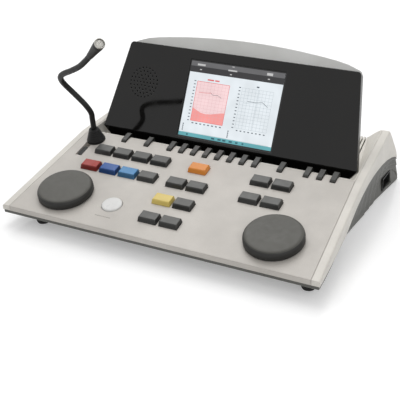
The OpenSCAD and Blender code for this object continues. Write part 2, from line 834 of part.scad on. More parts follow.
module fascia_outline() {
  top_x = display_half(fascia_top);
  right = corner(top_x - corner_r, fascia_top - corner_r);
  polygon(concat(
    [[-display_half(edge_v), edge_v], [edge_in - display_w / 2, fascia_low]],
    [[display_w / 2 - edge_in, fascia_low], [display_half(edge_v), edge_v]],
    right,
    [for (i = [len(right) - 1:-1:0]) [-right[i][0], right[i][1]]]
  ));
}

// Height of the rear shell's arched top edge
function rim_v(x) = fascia_top + rim_rise - x * x / (2 * rim_r);

module shell_outline() {
  top_x = display_half(fascia_top);
  end_x = top_x - 5;
  end_v = rim_v(end_x) - 3;
  sides = [
    [display_w / 2 - edge_in, fascia_low],
    [display_half(edge_v), edge_v],
    [top_x, fascia_top - 4],
    [top_x - 0.6, end_v - 5],
    [top_x - 2.4, end_v - 1.6]
  ];
  polygon(concat(
    sides,
    [for (i = [10:-1:-10]) [i / 10 * end_x, rim_v(i / 10 * end_x) - (abs(i) == 10 ? 3 : abs(i) == 9 ? 0.6 : 0)]],
    [for (i = [len(sides) - 1:-1:0]) [-sides[i][0], sides[i][1]]]
  ));
}

// Inside of the dark front, which is open to the inside of the rear shell
module fascia_inside() {
  top = fascia_top - 6;
  low = edge_v + 1;
  polygon([[-display_half(low) + 4, low], [display_half(low) - 4, low], [display_half(top) - 4, top], [-display_half(top) + 4, top]]);
}

// Rounded body behind the dark front, at an inset from its outline
module shell_body(inset) {
  hull()
    for (a = [0:15:90])
      translate([0, 0, fascia_back - 0.02 - inset - (shell_t - 0.02 - 2 * inset) * (1 - cos(a))])
        linear_extrude(0.02)
          offset(delta = -inset - 11 * (1 - cos(a)) * (1 - cos(a)) - (a > 0 ? 0.3 : 0))
            shell_outline();
}

module hinge_notch(s) {
  half = knuckle_w / 2 + ear_gap + ear_w + 1;
  box_at([s * hinge_x - half, fascia_low - 5, shell_back - 2], [s * hinge_x + half, knuckle_r + 7, fascia_back + 0.1]);
}

module display_shell() {
  color("#c9c9c6")
    on_display()
      difference() {
        shell_body(0);
        shell_body(wall);
        translate([0, 0, fascia_back - wall - 1])
          linear_extrude(wall + 2)
            fascia_inside();
        for (s = [-1, 1]) hinge_notch(s);
      }
}

// Extrudes an outline, given as height up the display and distance to its front, across the display
module across_display() {
  translate([-display_w / 2 - 5, 0, 0])
    rotate([90, 0, 90])
      linear_extrude(display_w + 10)
        children();
}

module display_fascia() {
  hinge_room = knuckle_w / 2 + ear_gap + ear_w + 1;
  color("#262624")
    on_display()
      difference() {
        translate([0, 0, fascia_back])
          linear_extrude(fascia_t)
            fascia_outline();
        translate([0, 0, fascia_back - 1])
          linear_extrude(fascia_t - front_skin + 1)
            fascia_inside();
        translate([0, hinge_drop + screen_h / 2, fascia_front - 5])
          linear_extrude(10)
            square([screen_w + 2 * window_gap, screen_h + 2 * window_gap], center = true);
        for (ring = [0:4], i = [0:max(0, ring * 6 - 1)])
          translate([grille_x, grille_v, fascia_front - 5])
            rotate([0, 0, ring == 0 ? 0 : i * 60 / ring])
              translate([ring * grille_step * grille_r / 20, 0, 0])
                cylinder(r = hole_r, h = 10, $fn = 16);
        across_display()
          polygon([[fascia_low - 3, fascia_back - 1.2], [edge_v - 0.8, fascia_front - 0.6], [edge_v + 0.6, fascia_front + 0.01],
                   [edge_v, fascia_front + 3], [fascia_low - 3, fascia_front + 3]]);
        for (s = [-1, 1])
          box_at([s * hinge_x - hinge_room, fascia_low - 1, fascia_back - 1], [s * hinge_x + hinge_room, knuckle_r + 2.5, knuckle_r + 0.7]);
      }
}

module lcd_module() {
  mid = hinge_drop + screen_h / 2;
  color("#dfe6ea")
    on_display()
      translate([0, mid, 0]) {
        translate([-screen_w / 2 - window_gap + 0.2, -screen_h / 2 - window_gap + 0.2, fascia_front - front_skin - 0.1])
          cube([screen_w + 2 * window_gap - 0.4, screen_h + 2 * window_gap - 0.4, front_skin - 0.7]);
        translate([-screen_w / 2 - 6, -screen_h / 2 - 3, fascia_front - front_skin - 7])
          cube([screen_w + 12, screen_h + 9, 6.9]);
      }
}

module speaker_driver() {
  color("#3a3a3a")
    on_display()
      translate([grille_x, grille_v, 0])
        rotate_extrude()
          polygon([[0, -5], [10, -5], [10, 0], [grille_r + 3, 6], [grille_r + 3, fascia_front - front_skin - 0.2],
                   [grille_r, fascia_front - front_skin - 0.2], [6, 2], [0, 2]]);
}

module hinge_arms() {
  color("#77777a")
    on_display()
      for (s = [-1, 1])
        translate([s * hinge_x, 0, 0])
          difference() {
            union() {
              translate([-knuckle_w / 2, 0, 0])
                rotate([0, 90, 0])
                  cylinder(r = knuckle_r, h = knuckle_w);
              translate([-knuckle_w / 2, 0, shell_back + wall + 0.2])
                cube([knuckle_w, 40, 3]);
              translate([-knuckle_w / 2, 1, shell_back + wall + 0.2])
                cube([knuckle_w, 4, -shell_back - wall - 3]);
            }
            translate([-knuckle_w, 0, 0])
              rotate([0, 90, 0])
                cylinder(r = pin_r + pin_play, h = 2 * knuckle_w);
          }
}

module hinge_brackets() {
  half = knuckle_w / 2 + ear_gap;
  color("#8b8b8e")
    for (s = [-1, 1])
      translate([s * hinge_x, front_y + hinge_d, hinge_z]) {
        for (m = [0, 1])
          mirror([m, 0, 0])
            translate([half, 0, 0]) {
              rotate([0, 90, 0]) cylinder(r = knuckle_r, h = ear_w);
              translate([0, -3.6, floor_z - hinge_z]) cube([ear_w, 7.2, hinge_z - floor_z]);
            }
        translate([-half - ear_w, 0, 0])
          rotate([0, 90, 0])
            cylinder(r = pin_r, h = 2 * (half + ear_w));
        translate([-half - ear_w, -8, floor_z - hinge_z])
          cube([2 * (half + ear_w), 16, 1.6]);
      }
}

// ---- microphone ----

module mic_socket() {
  color("#333333") {
    on_panel(plug_x, plug_v, 0)
      difference() {
        union() {
          translate([0, 0, 0.02]) cylinder(r = plug_d / 2 + 0.6, h = 1);
          translate([0, 0, -18]) cylinder(r = socket_bore / 2 + 1.6, h = 18.5);
          translate([0, 0, -panel_t - 2.5]) cylinder(r = 5.9, h = 2.4);
        }
        translate([0, 0, -17]) cylinder(d = socket_bore, h = 30);
      }
    on_panel(dock_x, dock_v - 2.5, -panel_t - 3) {
      translate([-2.6, -7.5, 0.02]) cube([5.2, 13, 4.4]);
      translate([0, 5.5, 0.02]) cylinder(r = 2.6, h = 4.4);
    }
  }
}

module mic_plug() {
  ribs = 6;
  rib_h = (plug_h - 2.6) / ribs;
  wide = plug_d / 2;
  narrow = neck_d / 2 + 2.2;
  color("#2a2a2a")
    on_panel(plug_x, plug_v, 0)
      rotate_extrude()
        polygon(concat(
          [[0, -14], [plug_pin / 2 - 1, -14], [plug_pin / 2, -12.5], [plug_pin / 2, 1.3], [wide, 1.3]],
          [for (i = [0:ribs - 1], t = [0, 0.55, 0.6, 1])
            [wide - (wide - narrow) * (i + t) / ribs - (t == 0.6 || t == 1 ? 0.7 : 0), 2.6 + (i + t) * rib_h]],
          [[neck_d / 2 + 0.7, plug_h], [neck_d / 2 + 0.7, plug_h - neck_seat], [0, plug_h - neck_seat]]
        ));
}

// Smooth curve through the neck's points
function curve(p0, p1, p2, p3, t) =
  0.5 * (2 * p1 + (p2 - p0) * t + (2 * p0 - 5 * p1 + 4 * p2 - p3) * t * t + (3 * p1 - p0 - 3 * p2 + p3) * t * t * t);
last_point = len(NECK) - 1;
function neck_point(i) = let (
    k = min(floor(i / neck_steps), last_point - 1),
    t = i / neck_steps - k,
    before = k == 0 ? 2 * NECK[0] - NECK[1] : NECK[k - 1],
    after = k + 2 > last_point ? 2 * NECK[last_point] - NECK[last_point - 1] : NECK[k + 2]
  ) curve(before, NECK[k], NECK[k + 1], after, t);
function neck_way(i) = unit(neck_point(min(i + 0.5, last_point * neck_steps)) - neck_point(max(i - 0.5, 0)));
function neck_ring(i) = let (
    way = neck_way(i),
    side = unit(cross(way, [0.3, 1, 0.1])),
    up = cross(side, way)
  ) [for (a = [0:360 / neck_sides:359]) neck_point(i) + neck_d / 2 * (cos(a) * side + sin(a) * up)];

module neck(first, last) {
  loft([for (i = [first:last]) neck_ring(i)]);
}

module neck_lower() {
  color("#2c2c2a") {
    neck(0, neck_joint * neck_steps);
    translate(NECK[neck_joint])
      sphere(d = neck_d * cos(180 / neck_sides), $fn = 24);
  }
}

module neck_upper() {
  color("#2c2c2a")
    neck(neck_joint * neck_steps + 1, last_point * neck_steps);
}

module mic_head() {
  tail = 12;
  tilt = acos(mic_dir[2]);
  turn = atan2(mic_dir[1], mic_dir[0]);
  color("#262626")
    translate(NECK[last_point])
      rotate([0, tilt, turn])
        rotate_extrude()
          polygon([[0, 0.4], [neck_d / 2 + 0.4, 0.4], [neck_d / 2 + 0.8, tail * 0.5], [mic_d / 2 - 0.9, tail + 3], [mic_d / 2, mic_len - 6],
                   [mic_d / 2, mic_len - 0.6], [mic_d / 2 - 0.6, mic_len], [mic_d / 2 - 1.2, mic_len],
                   [mic_d / 2 - 1.4, mic_len - 0.8], [0, mic_len - 0.5]]);
}

// ---- assembly ----

front_panel();
side_rails();
rear_deck();
base_tray();
side_pockets();
connector_plate();
jack_sockets();
data_ports();
main_board();
key_board();
key_mat();
hinge_brackets();
feet();
case_screws();
mic_socket();
display_shell();
display_fascia();
lcd_module();
speaker_driver();
hinge_arms();
mic_plug();
neck_lower();
neck_upper();
mic_head();
dial(-1);  // left_dial
dial(1);  // right_dial
talk_button();
for (k = KEYS) key(k);
for (t = TABS) soft_key(t);
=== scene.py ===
"""Looks for the audiometer: materials for every CAD node, the screen's picture, printed lines, the
smooth gooseneck, the stage, the lamps and the camera. Metres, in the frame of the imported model."""
import bpy
import math
import random
from mathutils import Matrix, Vector

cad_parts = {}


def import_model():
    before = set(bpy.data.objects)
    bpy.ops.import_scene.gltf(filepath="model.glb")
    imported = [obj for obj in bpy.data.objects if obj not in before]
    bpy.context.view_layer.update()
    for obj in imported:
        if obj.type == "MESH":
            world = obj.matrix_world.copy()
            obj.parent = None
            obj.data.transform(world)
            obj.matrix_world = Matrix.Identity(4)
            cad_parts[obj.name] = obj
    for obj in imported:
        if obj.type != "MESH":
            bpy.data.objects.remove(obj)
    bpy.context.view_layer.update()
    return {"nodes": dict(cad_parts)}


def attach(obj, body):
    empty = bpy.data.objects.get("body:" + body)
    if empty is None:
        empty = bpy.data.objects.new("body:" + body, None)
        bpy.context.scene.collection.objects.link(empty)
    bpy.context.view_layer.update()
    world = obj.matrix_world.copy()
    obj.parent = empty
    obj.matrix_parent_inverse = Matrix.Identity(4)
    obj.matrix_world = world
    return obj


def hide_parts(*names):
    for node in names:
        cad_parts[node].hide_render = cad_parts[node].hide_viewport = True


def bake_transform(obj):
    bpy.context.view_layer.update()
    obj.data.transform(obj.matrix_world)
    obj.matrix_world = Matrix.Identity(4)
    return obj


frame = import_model()
nodes = frame["nodes"]
MM = 0.001

# ---------------------------------------------------------------- places that repeat part.scad
FRONT_Y, FRONT_Z = -145.0, 23.4
TILT = math.radians(12.8)
HINGE_Y, HINGE_Z = 32.973, 44.178
DISPLAY_TILT = math.radians(63.2)
SCREEN_W, SCREEN_H, SCREEN_LOW, SCREEN_N = 115.2, 86.4, 12.0, 11.2
KEY_W, KEY_D, ROW_V, ROW_PITCH, KEY_PITCH = 20.8, 13.2, 28.8, 30.0, 24.1
LEFT_X, MID_X, RIGHT_X = -121.2, -13.6, 71.2
LEFT_KEYS = [LEFT_X + i * KEY_PITCH for i in range(4)]
RIGHT_KEYS = [RIGHT_X, RIGHT_X + KEY_PITCH]
# the key rows that have printed lines, by their number from the front
PRINTED_ROWS = {2: LEFT_KEYS + [MID_X, MID_X + KEY_PITCH] + RIGHT_KEYS,
                3: LEFT_KEYS + [MID_X + KEY_PITCH / 2] + RIGHT_KEYS}
NECK_U, NECK_V, NECK_H = -144.0, 136.0, 13.55
NECK_D, MIC_D, MIC_LEN = 6.4, 11.4, 30.0
NECK_WAY = [(0, 0, 0), (1.5, -3.7, 13.8), (2.5, -6.7, 23.8), (0, -11.7, 33.8), (-5.5, -15.7, 42.8),
            (-12, -19.7, 51.8), (-16, -25.7, 60.8), (-16, -31.7, 68.3), (-12.5, -36.7, 74.3),
            (-5, -40.7, 79.8), (8.5, -45.7, 86.3), (23, -50.7, 94.3), (34, -54.7, 102.8), (42, -57.7, 109.8)]
MIC_DIR = Vector((25, -12, 23)).normalized()


def on_panel(u, v, h=0.0):
    """A point of the sloped panel: u to the right, v up the slope, h out of it, in mm."""
    return Vector((u, FRONT_Y + v * math.cos(TILT) - h * math.sin(TILT),
                   FRONT_Z + v * math.sin(TILT) + h * math.cos(TILT))) * MM


def on_display(u, w, n=0.0):
    """A point of the display: u to the right, w up the display, n out of its front, in mm."""
    return Vector((u, HINGE_Y + w * math.cos(DISPLAY_TILT) - n * math.sin(DISPLAY_TILT),
                   HINGE_Z + w * math.sin(DISPLAY_TILT) + n * math.cos(DISPLAY_TILT))) * MM


# ---------------------------------------------------------------- camera
def make_camera():
    azimuth, elevation, roll = math.radians(27.43), math.radians(27.13), math.radians(-1.04)
    back = Vector((math.sin(azimuth) * math.cos(elevation), -math.cos(azimuth) * math.cos(elevation),
                   math.sin(elevation)))
    right = (-back).cross(Vector((0, 0, 1))).normalized()
    up = right.cross(-back)
    right, up = right * math.cos(roll) + up * math.sin(roll), up * math.cos(roll) - right * math.sin(roll)
    data = bpy.data.cameras.new("camera")
    data.sensor_width = 36
    data.lens = 76.46
    data.clip_start = 0.05
    data.clip_end = 50
    camera = bpy.data.objects.new("camera", data)
    bpy.context.scene.collection.objects.link(camera)
    turn = Matrix((right, up, back)).transposed().to_4x4()
    camera.matrix_world = Matrix.Translation((0.3821, -0.7671, 0.4396)) @ turn
    bpy.context.scene.camera = camera


make_camera()


# ---------------------------------------------------------------- material tools
def linear(rgb):
    """0-255 screen colour to the linear one that a shader takes."""
    out = []
    for c in rgb:
        c /= 255
        out.append(c / 12.92 if c <= 0.04045 else ((c + 0.055) / 1.055) ** 2.4)
    return (*out, 1.0)


class Mat:
    """A node material around one Principled shader, with small helpers."""

    def __init__(self, name, rough=0.5, metal=0.0, spec=0.5, coat=0.0, coat_rough=0.05):
        self.mat = bpy.data.materials.new(name)
        self.mat.use_nodes = True
        self.tree = self.mat.node_tree
        self.tree.nodes.clear()
        self.out = self.add("ShaderNodeOutputMaterial")
        self.bsdf = self.add("ShaderNodeBsdfPrincipled")
        self.link(self.bsdf.outputs[0], self.out.inputs[0])
        self.bsdf.inputs["Roughness"].default_value = rough
        self.bsdf.inputs["Metallic"].default_value = metal
        self.bsdf.inputs["Specular IOR Level"].default_value = spec
        self.bsdf.inputs["Coat Weight"].default_value = coat
        self.bsdf.inputs["Coat Roughness"].default_value = coat_rough
        self.coords = self.add("ShaderNodeTexCoord").outputs["Object"]

    def add(self, kind, **values):
        node = self.tree.nodes.new(kind)
        for key, value in values.items():
            setattr(node, key, value)
        return node

    def link(self, a, b):
        self.tree.links.new(a, b)

    def noise(self, scale, detail=2.0, rough=0.5, stretch=None):
        node = self.add("ShaderNodeTexNoise")
        node.inputs["Scale"].default_value = scale
        node.inputs["Detail"].default_value = detail
        node.inputs["Roughness"].default_value = rough
        if stretch:
            mapping = self.add("ShaderNodeMapping")
            mapping.inputs["Scale"].default_value = stretch
            self.link(self.coords, mapping.inputs["Vector"])
            self.link(mapping.outputs[0], node.inputs["Vector"])
        else:
            self.link(self.coords, node.inputs["Vector"])
        return node.outputs["Fac"]

    def span(self, value, low, high, to_low, to_high):
        node = self.add("ShaderNodeMapRange")
        self.link(value, node.inputs[0])
        for i, number in enumerate((low, high, to_low, to_high)):
            node.inputs[i + 1].default_value = number
        return node.outputs[0]

    def mix(self, fac, a, b):
        node = self.add("ShaderNodeMix", data_type="RGBA")
        for value, socket in ((fac, node.inputs[0]), (a, node.inputs[6]), (b, node.inputs[7])):
            if isinstance(value, (float, int, tuple)):
                socket.default_value = value
            else:
                self.link(value, socket)
        return node.outputs[2]

    def drift(self, scale, detail, spread, first, second):
        """A colour that wanders between two screen colours; spread is the noise's half range."""
        wander = self.span(self.noise(scale, detail), 0.5 - spread, 0.5 + spread, 0, 1)
        return self.mix(wander, linear(first), linear(second))

    def bump(self, height, strength, distance, normal):
        node = self.add("ShaderNodeBump")
        node.inputs["Strength"].default_value = strength
        node.inputs["Distance"].default_value = distance
        self.link(height, node.inputs["Height"])
        if normal:
            self.link(normal, node.inputs["Normal"])
        return node.outputs[0]

    def soften(self, radius):
        """Normals that round the hard edges over a radius in metres, and a mask of those edges."""
        bevel = self.add("ShaderNodeBevel", samples=6)
        bevel.inputs["Radius"].default_value = radius
        flat = self.add("ShaderNodeNewGeometry")
        dot = self.add("ShaderNodeVectorMath", operation="DOT_PRODUCT")
        self.link(bevel.outputs[0], dot.inputs[0])
        self.link(flat.outputs["Normal"], dot.inputs[1])
        return bevel.outputs[0], self.span(dot.outputs["Value"], 1.0, 0.8, 0.0, 1.0)

    def math(self, kind, a, b=0.0):
        node = self.add("ShaderNodeMath", operation=kind)
        for value, socket in ((a, node.inputs[0]), (b, node.inputs[1])):
            if isinstance(value, (float, int)):
                socket.default_value = value
            else:
                self.link(value, socket)
        return node.outputs[0]

    def place(self, axis):
        """One coordinate of the shaded point, in metres of the piece's own frame."""
        node = self.add("ShaderNodeSeparateXYZ")
        self.link(self.coords, node.inputs[0])
        return node.outputs[axis]

    def normal_part(self, axis):
        """One part of the face's direction."""
        node = self.add("ShaderNodeSeparateXYZ")
        self.link(self.add("ShaderNodeNewGeometry").outputs["Normal"], node.inputs[0])
        return node.outputs[axis]

    def color(self, value):
        socket = self.bsdf.inputs["Base Color"]
        if isinstance(value, tuple):
            socket.default_value = value
        else:
            self.link(value, socket)

    def rough(self, value):
        self.link(value, self.bsdf.inputs["Roughness"])

    def normal(self, value):
        self.link(value, self.bsdf.inputs["Normal"])


def shade(rgb, k):
    """A colour made k times lighter or darker."""
    return tuple(min(255, c * k) for c in rgb)


def plastic(name, rgb, rough=0.45, grain=0.25, size=2600, edge=0.0006, wear_and_highlight=1.12, spec=0.4, vary=0.035,
            wear_and_highlight_mix=0.5, side=1.0, dark=None):
    """Moulded plastic: fine grain, slight tone drift, softened edges that are a touch lighter, a painted
    highlight and partly real rubbing.
    Upright faces take the colour times side as painted shade, and dark is a function for a mask of places
    painted near-black as shade."""
    m = Mat(name, rough=rough, spec=spec)
    base = m.drift(26, 3, 0.2, shade(rgb, 1 - vary), shade(rgb, 1 + vary))
    base = m.mix(m.span(m.noise(900, 2), 0.45, 0.75, 0.0, 0.35), base, linear(shade(rgb, 0.96)))
    soft, mask = m.soften(edge)
    # painted shade: upright faces darkened to the colour times side
    if side != 1.0:
        base = m.mix(m.span(m.normal_part("Z"), 0.55, 0.8, 1.0, 0.0), base, linear(shade(rgb, side)))
    # painted highlight, partly real rubbing: softened edges made lighter
    base = m.mix(m.span(mask, 0, 1, 0, wear_and_highlight_mix), base, linear(shade(rgb, wear_and_highlight)))
    # painted shade: near-black where the mask marks a shaded hollow
    if dark:
        base = m.mix(dark(m), base, linear((20, 20, 19)))
    m.color(base)
    m.rough(m.span(m.noise(180, 3), 0.3, 0.7, rough - 0.05, rough + 0.06))
    m.normal(m.bump(m.noise(size, 2), grain, 0.00004, soft))
    return m.mat


def paint(material, *names):
    """Gives CAD nodes one material."""
    for name in names:
        mesh = nodes[name].data
        mesh.materials.clear()
        mesh.materials.append(material)


# metres: the trench runs from its start to its end, under its top, between walls that close in with y
TRENCH_START, TRENCH_END, TRENCH_TOP = 0.0046, 0.0424, 0.0552
TRENCH_HALF, TRENCH_LEAN = 0.1608, -0.054


def trench(m):
    """Mask of the ramp and floor of the rear deck's trench between its end walls, painted near-black as
    painted shade for the deep shade under the display.
    """
    y = m.place("Y")
    half = m.math("ADD", m.math("MULTIPLY", y, TRENCH_LEAN), TRENCH_HALF)
    inside = m.math("LESS_THAN", m.math("ABSOLUTE", m.place("X")), half)
    along = m.math("MULTIPLY", m.math("GREATER_THAN", y, TRENCH_START), m.math("LESS_THAN", y, TRENCH_END))
    low = m.math("LESS_THAN", m.place("Z"), TRENCH_TOP)
    flat = m.math("LESS_THAN", m.math("ABSOLUTE", m.normal_part("X")), 0.5)
    return m.math("MULTIPLY", m.math("MULTIPLY", inside, along), m.math("MULTIPLY", low, flat))


# ---------------------------------------------------------------- materials
# in each plastic below, lighter edges are a painted highlight and partly real rubbing
M_PANEL = plastic("panel_plastic", (205, 200, 193), rough=0.42, grain=0.2, edge=0.0008, wear_and_highlight=1.04)
M_RAIL = plastic("rail_plastic", (226, 222, 214), rough=0.40, grain=0.2, edge=0.0012, wear_and_highlight=1.03)
# painted shade: the trench under the display painted near-black
M_DECK = plastic("deck_plastic", (222, 218, 210), rough=0.42, grain=0.2, edge=0.0008, wear_and_highlight=1.03, dark=trench)
# painted highlight, partly real rubbing: the base tray's edges painted much lighter, as bright lines on the
# stepped arches
M_BASE = plastic("base_plastic", (96, 96, 92), rough=0.5, grain=0.5, size=1800, wear_and_highlight=2.0, wear_and_highlight_mix=0.9)
M_BLACK = plastic("black_plastic", (24, 24, 23), rough=0.5, grain=0.4, size=2200, edge=0.0004, wear_and_highlight=1.5,
                  spec=0.3)
M_FOOT = plastic("foot_rubber", (24, 24, 24), rough=0.75, grain=0.6, size=1500, edge=0.0006, wear_and_highlight=1.4)
# painted shade: the dials' upright sides painted nearly black by side
M_DIAL = plastic("dial_plastic", (88, 87, 82), rough=0.52, grain=0.35, size=2400, edge=0.0008, wear_and_highlight=1.05,
                 side=0.38)


def key_plastic(color, rgb, wear_and_highlight, side=1.0, rough=0.36, grain=0.25):
    return plastic("key_" + color, rgb, rough=rough, grain=grain, edge=0.0009, wear_and_highlight=wear_and_highlight, side=side)


# painted shade: key fronts and sides darkened by side; painted highlight, partly real rubbing: lighter key
# edges
M_KEY = {
    "dark": key_plastic("dark", (80, 80, 77), 1.5, 0.45),
    "red": key_plastic("red", (172, 52, 44), 1.25, 0.7),
    "blue": key_plastic("blue", (38, 88, 160), 1.5, 0.7),
    "light_blue": key_plastic("light_blue", (70, 138, 190), 1.3, 0.7),
    "orange": key_plastic("orange", (232, 145, 58), 1.15),
    "yellow": key_plastic("yellow", (226, 202, 112), 1.1),
    "white": key_plastic("white", (232, 232, 230), 1.03, rough=0.3, grain=0.15),
}
# painted shade on the soft keys' sides and painted highlight, partly real rubbing, on their edges
M_TAB = plastic("soft_key_plastic", (54, 54, 51), rough=0.4, grain=0.3, edge=0.0007, wear_and_highlight=1.8, side=0.6)
M_NECK = plastic("neck_rubber", (22, 22, 21), rough=0.45, grain=0.3, edge=0.0003, wear_and_highlight=1.2, spec=0.3)
M_PCB = plastic("board_green", (38, 104, 66), rough=0.3, grain=0.6, size=700, edge=0.0003, wear_and_highlight=1.1, spec=0.5)
M_MAT = plastic("mat_rubber", (120, 120, 116), rough=0.7, grain=0.4, edge=0.0004)
M_SPEAKER = plastic("speaker_cone", (46, 46, 44), rough=0.6, grain=0.8, size=1200, edge=0.0004)


def metal(name, rgb, rough=0.3, stretch=(1, 1, 30)):
    """Bare metal with fine brushed lines, drawn out by stretch."""
    m = Mat(name, rough=rough, metal=1.0)
    lines = m.noise(700, 3, 0.6, stretch)
    m.color(m.mix(m.span(lines, 0.3, 0.7, 0, 1), linear(shade(rgb, 0.92)), linear(shade(rgb, 1.05))))
    soft, _ = m.soften(0.0003)
    m.rough(m.span(lines, 0.3, 0.7, rough - 0.06, rough + 0.08))
    m.normal(m.bump(lines, 0.15, 0.00003, soft))
    return m.mat


M_STEEL = metal("hinge_steel", (150, 150, 152), 0.32)
M_NICKEL = metal("socket_nickel", (176, 174, 168), 0.25, (30, 1, 1))
M_ZINC = metal("screw_zinc", (160, 160, 158), 0.35)


def silver():
    """Satin silver paint of the rear shell: fine flakes under a thin clear coat."""
    m = Mat("silver_paint", rough=0.34, metal=0.35, spec=0.5, coat=0.25, coat_rough=0.12)
    flake = m.add("ShaderNodeTexVoronoi")
    flake.inputs["Scale"].default_value = 5200
    m.link(m.coords, flake.inputs["Vector"])
    tone = m.drift(30, 2, 0.2, (196, 196, 193), (206, 206, 204))
    tone = m.mix(m.span(flake.outputs["Distance"], 0.0, 0.6, 0.25, 0.0), tone, linear((228, 228, 226)))
    soft, _ = m.soften(0.0008)
    m.color(tone)
    m.normal(m.bump(m.noise(3000, 2), 0.12, 0.00003, soft))
    m.rough(m.span(m.noise(120, 3), 0.3, 0.7, 0.3, 0.4))
    return m.mat


def gloss_black():
    """High-gloss black front of the display, with the faintest haze and dust."""
    m = Mat("gloss_black", rough=0.06, spec=0.36)
    m.color(m.drift(14, 2, 0.15, (11, 10, 9), (15, 14, 12)))
    soft, _ = m.soften(0.0012)
    m.rough(m.span(m.noise(60, 4), 0.35, 0.75, 0.05, 0.12))
    m.normal(m.bump(m.noise(40, 1), 0.02, 0.0002, soft))
    return m.mat


M_SILVER = silver()
M_GLOSS = gloss_black()


def lit(name, rgb):
    """A lit patch of the screen's picture."""
    m = Mat(name, rough=0.25, spec=0.3)
    tone = m.drift(60, 1, 0.15, shade(rgb, 0.98), shade(rgb, 1.02))
    m.color((0.01, 0.01, 0.01, 1.0))
    m.link(tone, m.bsdf.inputs["Emission Color"])
    m.bsdf.inputs["Emission Strength"].default_value = 1.0
    return m.mat


paint(M_PANEL, "front_panel")
paint(M_RAIL, "side_rails")
paint(M_DECK, "rear_deck")
paint(M_BASE, "base_tray")
paint(M_BLACK, "side_pockets", "connector_plate", "mic_socket", "mic_plug")
paint(M_FOOT, "feet")
paint(M_NICKEL, "jack_sockets", "data_ports")
paint(M_STEEL, "hinge_brackets", "hinge_arms")
paint(M_ZINC, "case_screws")
paint(M_PCB, "main_board", "key_board")
paint(M_MAT, "key_mat")
paint(M_SILVER, "display_shell")
paint(M_GLOSS, "display_fascia")
paint(M_SPEAKER, "speaker_driver")
paint(M_DIAL, "left_dial", "right_dial")
paint(M_KEY["white"], "talk_button")
paint(M_NECK, "neck_lower", "neck_upper", "mic_head")
COLORS = {"key_back_5": "orange", "key_third_1": "red", "key_third_2": "blue", "key_third_3": "light_blue",
          "key_second_1": "yellow"}
for name in nodes:
    if name.startswith("key_") and name not in ("key_board", "key_mat"):
        paint(M_KEY[COLORS.get(name, "dark")], name)
    if name.startswith("soft_key_"):
        paint(M_TAB, name)


# ---------------------------------------------------------------- mesh tools
def mesh_object(name, points, faces, material, smooth=False, indices=None):
    data = bpy.data.meshes.new(name)
    data.from_pydata([tuple(p) for p in points], [], faces)
    materials = material if isinstance(material, (list, tuple)) else [material]
    for m in materials:
        data.materials.append(m)
    for i, polygon in enumerate(data.polygons):
        polygon.use_smooth = smooth
        if indices:
            polygon.material_index = indices[i]
    data.update()
    obj = bpy.data.objects.new(name, data)
    bpy.context.scene.collection.objects.link(obj)
    return obj


class Decals:
    """Thin raised quads on a plane, gathered into one mesh with several materials."""

    def __init__(self, place):
        self.place = place
        self.points, self.faces, self.indices, self.materials = [], [], [], []

    def quad(self, corners, lift, material, thick=0.04):
        if material not in self.materials:
            self.materials.append(material)
        start = len(self.points)
        n = len(corners)
        for u, v in corners:
            self.points.append(self.place(u, v, lift))
        for u, v in corners:
            self.points.append(self.place(u, v, lift - thick))
        faces = [tuple(range(start, start + n)), tuple(range(start + 2 * n - 1, start + n - 1, -1))]
        for i in range(n):
            j = (i + 1) % n
            faces.append((start + j, start + i, start + n + i, start + n + j))
        self.faces += faces
        self.indices += [self.materials.index(material)] * len(faces)

    def rect(self, u0, v0, u1, v1, lift, material):
        self.quad([(u0, v0), (u1, v0), (u1, v1), (u0, v1)], lift, material)

    def line(self, path, width, lift, material):
        """A polyline as one quad for each stretch."""
        for (u0, v0), (u1, v1) in zip(path, path[1:]):
            du, dv = u1 - u0, v1 - v0
            size = math.hypot(du, dv)
            nu, nv = -dv / size * width / 2, du / size * width / 2
            self.quad([(u0 - nu, v0 - nv), (u1 - nu, v1 - nv), (u1 + nu, v1 + nv), (u0 + nu, v0 + nv)],
                      lift, material)

    def build(self, name):
        return mesh_object(name, self.points, self.faces, self.materials, indices=self.indices)


# ---------------------------------------------------------------- printed lines on the panel
INK_LIFT = 0.05
M_INK = plastic("printed_ink", (112, 106, 98), rough=0.5, grain=0.1, edge=0.0001, wear_and_highlight=1.0)
M_INK_SOFT = plastic("printed_ink_soft", (158, 152, 144), rough=0.5, grain=0.1, edge=0.0001, wear_and_highlight=1.0)


def printed_lines():
    """A line and a row of dashes above each key of the printed rows, and a row of dashes under the talk
    button.
    """
    random.seed(7)
    ink = Decals(on_panel)
    for row, places in PRINTED_ROWS.items():
        v = ROW_V + row * ROW_PITCH + KEY_D / 2 + 2.6
        for x in places:
            ink.rect(x - KEY_W / 2 + 0.5, v, x + KEY_W / 2 - 0.5, v + 0.6, INK_LIFT, M_INK)
            at = x - KEY_W / 2 + 3
            while at < x + KEY_W / 2 - 5:
                step = random.uniform(1.0, 2.4)
                ink.rect(at, v + 1.3, at + step, v + 2.2, INK_LIFT, M_INK_SOFT)
                at += step + 0.7
    at = -72.0
    while at < -54:
        step = random.uniform(0.9, 2.0)
        ink.rect(at, 16.6, at + step, 17.6, INK_LIFT, M_INK_SOFT)
        at += step + 0.7
    prints = ink.build("panel_prints")
    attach(prints, "console")


printed_lines()


